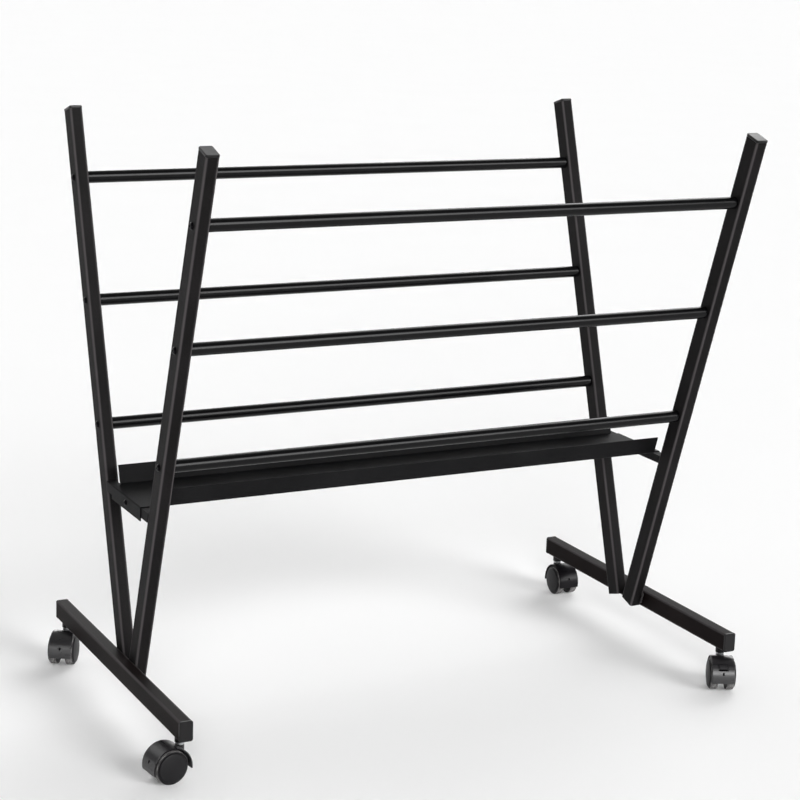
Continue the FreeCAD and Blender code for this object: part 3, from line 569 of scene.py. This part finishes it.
# %% Black oxide on bolts and screws
OXIDE_PATCH = 3 * MM
black_oxide, shader = new_finish("black_oxide_steel")
spot = add_node(black_oxide, "TexCoord", {}).outputs["Object"]
patches = add_node(black_oxide, "TexNoise", {"Vector": spot, "Scale": 1 / OXIDE_PATCH, "Detail": 3.0})
tone = add_node(black_oxide, "Mix", {
    "Factor": patches.outputs["Fac"], COLOUR_A: linear("#0c0c0d"), COLOUR_B: linear("#232225"),
}, data_type="RGBA")
gloss = add_node(black_oxide, "MapRange", {"Value": patches.outputs["Fac"], "To Min": 0.26, "To Max": 0.5})
links = black_oxide.node_tree.links
links.new(tone.outputs[COLOUR_OUT], shader.inputs["Base Color"])
links.new(gloss.outputs["Result"], shader.inputs["Roughness"])
shader.inputs["Metallic"].default_value = 1.0
coat(["rail_bolts", "tray_screws"], black_oxide)

# %% [markdown]
# ## Welds
# Each upright is welded to the inner face of its foot along both of its edges, and each tray bracket
# to the uprights under its ends. A welder's bead is a small convex fillet, rippled where each drop
# froze, and it thins out at both ends. A bevelled curve would give an even round rod that stands
# proud of the corner. So each bead is built as a row of sections: every section fills the corner
# between two walls, and its size swells and shrinks with the ripple.

# %% Sections of a bead
RIPPLE_PITCH, RIPPLE_HEIGHT = 2.2 * MM, 0.09  # the height is a share of the bead's size
SECTION_STEP, FEWEST_SECTIONS = 0.55 * MM, 8
ARC_POINTS = 6
END_SIZE, END_SWELL = 0.25, 4  # a bead starts at a quarter of its size and swells at this rate
BULGE = 0.3226  # how far the middle of a section stands out past a quarter circle


def add_bead(mesh, start, stop, wall_a, wall_b, leg):
    """Add a bead from start to stop, in the corner between two walls that leave it along a and b."""
    run = stop - start
    count = max(FEWEST_SECTIONS, round(run.length / SECTION_STEP))
    rows = []
    for step in range(count + 1):
        along = step / count
        taper = min(1.0, END_SWELL * min(along, 1 - along) + END_SIZE)
        ripple = 1 + RIPPLE_HEIGHT * math.sin(2 * math.pi * along * run.length / RIPPLE_PITCH)
        size = leg * taper * ripple
        corner = start + run * along
        outside = []
        for point in range(ARC_POINTS):
            angle = math.pi / 2 * point / (ARC_POINTS - 1)
            bulge = 1 + BULGE * math.sin(2 * angle)
            reach = wall_a * math.cos(angle) + wall_b * math.sin(angle)
            outside.append(mesh.verts.new(corner + reach * size * bulge))
        rows.append([mesh.verts.new(corner), *outside])
    for row, following in zip(rows, rows[1:]):
        for place in range(len(row)):
            after = (place + 1) % len(row)
            mesh.faces.new((row[place], row[after], following[after], following[place]))
    mesh.faces.new(rows[0])
    mesh.faces.new(list(reversed(rows[-1])))


print("sections in a centimetre of bead:", round(10 * MM / SECTION_STEP))

# %% [markdown]
# ## Where the uprights meet the feet
# The seams come from the solids themselves: an upright leans in the YZ plane, its lower end lies on the
# foot's inner face, and its edges cross that face on two slanted lines. Typed-in coordinates would be
# shorter, but would miss when the cart changes size. The upright's own box and its lean give the lower
# outer corner, and both edges start from there. A bead stops short of the foot's rounded corners.

# %% Welds at the feet
WELD_LEG = 3.2 * MM
CLEAR_BELOW, CLEAR_ABOVE = 5 * MM, 4 * MM
beads = bmesh.new()
for side, x_sign in (("left", -1), ("right", 1)):
    foot_low, foot_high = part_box(f"{side}_foot_tube")
    inner_face = foot_low.x if x_sign > 0 else foot_high.x
    for end, y_sign in (("front", -1), ("rear", 1)):
        low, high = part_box(f"{side}_{end}_upright")
        up = Vector((0, y_sign * math.sin(LEAN), math.cos(LEAN)))
        out = Vector((0, y_sign * math.cos(LEAN), -math.sin(LEAN)))
        outer_y = high.y if y_sign > 0 else low.y
        rise = high.z - low.z - TUBE_DEPTH * math.sin(LEAN)
        lower_outer = Vector((inner_face, outer_y - y_sign * rise * math.tan(LEAN), low.z))
        for offset, wall in ((0.0, out), (-TUBE_DEPTH, -out)):
            foot_of_seam = lower_outer + out * offset
            start = foot_of_seam + up * ((foot_low.z + CLEAR_BELOW - foot_of_seam.z) / up.z)
            stop = foot_of_seam + up * ((foot_high.z - CLEAR_ABOVE - foot_of_seam.z) / up.z)
            add_bead(beads, start, stop, Vector((-x_sign, 0, 0)), wall, WELD_LEG)
print(len(beads.verts), "points in the beads at the feet")

# %% [markdown]
# ## Where the brackets meet the uprights
# A bracket is an angle whose ends are cut to the lean of the uprights. Its flat leg is welded from
# below, where the bead doesn't get in the way of the tray. All beads go into one mesh, since they are one
# job with one finish. Powder flows thin over the ripples, so a bead's coat is glossier than the tube's,
# and its colour is painted a little paler as a painted glint on the ripples.

# %% Welds under the brackets
BRACKET_SHEET, BRACKET_LEG = 2 * MM, 15 * MM
BRACKET_WELD_LEG = 2.2 * MM
CLEAR_OUTSIDE, CLEAR_INSIDE = 3 * MM, 1 * MM
for side, x_sign in (("left", -1), ("right", 1)):
    low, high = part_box(f"{side}_tray_bracket")
    outer_x = low.x if x_sign < 0 else high.x
    for y_sign in (-1, 1):
        end_y = low.y if y_sign < 0 else high.y
        under = high.z - BRACKET_SHEET
        seam_y = end_y - y_sign * BRACKET_SHEET * math.tan(LEAN)
        start = Vector((outer_x - x_sign * CLEAR_OUTSIDE, seam_y, under))
        stop = Vector((outer_x - x_sign * (BRACKET_LEG - CLEAR_INSIDE), seam_y, under))
        face = Vector((0, -y_sign * math.sin(LEAN), -math.cos(LEAN)))
        add_bead(beads, start, stop, Vector((0, -y_sign, 0)), face, BRACKET_WELD_LEG)
bmesh.ops.recalc_face_normals(beads, faces=beads.faces)
weld_mesh = bpy.data.meshes.new("weld_beads")
beads.to_mesh(weld_mesh)
beads.free()
weld_mesh.shade_smooth()
weld_beads = bpy.data.objects.new("weld_beads", weld_mesh)
bpy.context.scene.collection.objects.link(weld_beads)
# the bead's paler colours are a painted glint
weld_coat = powder_coat(
    "powder_coated_weld_bead", "#1a1718", "#2b2728", roughness=0.26, peel=0.3, gleam=0.5,
)
weld_mesh.materials.append(weld_coat)
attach(weld_beads, "frame")
print(len(weld_mesh.polygons), "faces in the welds")

# %% [markdown]
# ## Floor
# The cart stands on a roll of white studio paper, matt, and a little cloudy where the pulp lay thicker.
# A plane that only catches shadows could stand in for it, but real paper also lights the cart from
# below, as it does in a studio. It reaches so far out that its edge isn't seen. Real clouds in paper are
# a centimetre across, too fine to show over such a floor, so they are drawn 400 mm across.

# %% Floor
FLOOR_SIZE = 90
PULP_SIZE = 400 * MM
bpy.ops.mesh.primitive_plane_add(size=FLOOR_SIZE)
floor = bpy.context.object
floor.name = "floor"
paper, shader = new_finish("white_studio_paper")
spot = add_node(paper, "TexCoord", {}).outputs["Object"]
pulp = add_node(paper, "TexNoise", {"Vector": spot, "Scale": 1 / PULP_SIZE, "Detail": 2.0})
tone = add_node(paper, "Mix", {
    "Factor": pulp.outputs["Fac"], COLOUR_A: linear("#fcfcfc"), COLOUR_B: linear("#fefefe"),
}, data_type="RGBA")
paper.node_tree.links.new(tone.outputs[COLOUR_OUT], shader.inputs["Base Color"])
shader.inputs["Roughness"].default_value = 1.0
shader.inputs["Specular IOR Level"].default_value = 0.0
floor.data.materials.append(paper)
print("floor", tuple(floor.dimensions))

# %% [markdown]
# ## Light
# A product picture on white needs light from everywhere, but a dome that is white all round would fill
# every black face with the same grey. So this dome is a dim studio with five softboxes: one at the back
# right, which the caps mirror, a low one behind for the tops of the feet, one at the back left and one by
# the camera, which draw bands on the castors, and one at the front right, which draws the long highlight
# on the rails. A rail runs left to right, so to a viewer at the left it mirrors only what stands at the
# right. Area lamps could do the same, but would show in views from behind, or light one end of the cart
# more than the other. The dome turns white from a few degrees above the horizon down, so a low view ends
# in white too. Together the lights show a level surface in its own colour.

# %% Dome and softboxes
WALL_LIGHT, ROOM_LIGHT = 0.3, 0.08
WALL_FROM, ROOM_FROM = 0.6, -0.5  # how far back or forward a direction points where each is reached
SWEEP_BEND, SWEEP_TOP = math.radians(3), math.radians(9)
SOFTBOXES = {  # direction from the cart, brightness, half angles of the even core and of the soft edge
    "back_right": (Vector((0.68, 0.53, 0.50)), 3.8, 10, 28),
    "back_wall": (Vector((0.17, 0.96, 0.20)), 3.4, 6, 20),
    "back_left": (Vector((-0.33, 0.75, 0.55)), 1.2, 7, 18),
    "by_camera": (Vector((-0.41, -0.84, 0.37)), 8.0, 6, 17),
    "front_right": (Vector((0.33, -0.84, 0.41)), 11.0, 8, 20),
}
world = bpy.data.worlds.new("studio_dome")
bpy.context.scene.world = world
world.use_nodes = True
towards = add_node(world, "TexCoord", {}).outputs["Generated"]
sides = add_node(world, "SeparateXYZ", {"Vector": towards})
room = add_node(world, "MapRange", {
    "Value": sides.outputs["Y"], "From Min": ROOM_FROM, "From Max": WALL_FROM,
    "To Min": ROOM_LIGHT, "To Max": WALL_LIGHT,
}, interpolation_type="SMOOTHSTEP")
sweep = add_node(world, "MapRange", {
    "Value": sides.outputs["Z"], "From Min": math.sin(SWEEP_TOP), "From Max": math.sin(SWEEP_BEND),
}, interpolation_type="SMOOTHSTEP")
level = add_node(world, "Math", {
    0: room.outputs["Result"], 1: sweep.outputs["Result"],
}, operation="MAXIMUM").outputs["Value"]
for direction, brightness, core, edge in SOFTBOXES.values():
    facing = add_node(world, "VectorMath", {
        0: towards, 1: direction.normalized(),
    }, operation="DOT_PRODUCT")
    softbox = add_node(world, "MapRange", {
        "Value": facing.outputs["Value"], "To Min": 0.0, "To Max": brightness,
        "From Min": math.cos(math.radians(edge)), "From Max": math.cos(math.radians(core)),
    }, interpolation_type="SMOOTHSTEP")
    brighter = add_node(world, "Math", {0: level, 1: softbox.outputs["Result"]}, operation="ADD")
    level = brighter.outputs["Value"]
background = world.node_tree.nodes["Background"]
background.inputs["Color"].default_value = (1, 1, 1, 1)
world.node_tree.links.new(level, background.inputs["Strength"])
print("softboxes", list(SOFTBOXES))

# %% [markdown]
# ## Sun
# The softboxes leave the shadow very soft, so a weak, broad sun from the upper left firms it up a little.
# A spot lamp could do that too, but a sun's rays run side by side, so both ends of the cart throw the same
# shadow.

# %% Sun
SUN_STRENGTH, SUN_WIDTH = 0.1, math.radians(20)
SUN_PLACE = Vector((-0.5, 0.15, 0.85))
sun_data = bpy.data.lights.new("broad_sun", "SUN")
sun_data.energy = SUN_STRENGTH
sun_data.angle = SUN_WIDTH
sun = bpy.data.objects.new("broad_sun", sun_data)
bpy.context.scene.collection.objects.link(sun)
sun.rotation_euler = SUN_PLACE.to_track_quat("Z", "Y").to_euler()
print("sun of", round(sun_data.energy, 2))

# %% [markdown]
# ## Camera
# The viewpoint was worked out from the vanishing lines of feet, rails and uprights: a long lens, a
# little above the cart, from its front left. Trying views by eye could come close, but lines that run
# together leave no choice. The picture is cropped off the lens's axis, so the frame is shifted by that
# much and no more. The horizon leans by two degrees, which is kept.

# %% Camera
EYE = Vector((-1460.8, -2779.0, 1215.7)) * MM
YAW, PITCH, ROLL = 0.48796, 0.21138, 0.035634  # radians
SENSOR, LENS, SHIFT = 36, 92.0, (-0.0141, -0.0685)
FARTHEST = 200
ahead = Vector((math.sin(YAW) * math.cos(PITCH), math.cos(YAW) * math.cos(PITCH), -math.sin(PITCH)))
level_right = Vector((math.cos(YAW), -math.sin(YAW), 0))
level_up = level_right.cross(ahead)
right = math.cos(ROLL) * level_right + math.sin(ROLL) * level_up
up = math.cos(ROLL) * level_up - math.sin(ROLL) * level_right
camera_data = bpy.data.cameras.new("camera")
camera_data.sensor_width, camera_data.lens = SENSOR, LENS
camera_data.shift_x, camera_data.shift_y = SHIFT
camera_data.clip_end = FARTHEST
camera = bpy.data.objects.new("camera", camera_data)
bpy.context.scene.collection.objects.link(camera)
camera.matrix_world = Matrix.Translation(EYE) @ Matrix((right, up, -ahead)).transposed().to_4x4()
bpy.context.scene.camera = camera
bpy.context.scene.view_settings.view_transform = "Standard"
print("eye", tuple(round(c, 3) for c in EYE), "lens", camera_data.lens)
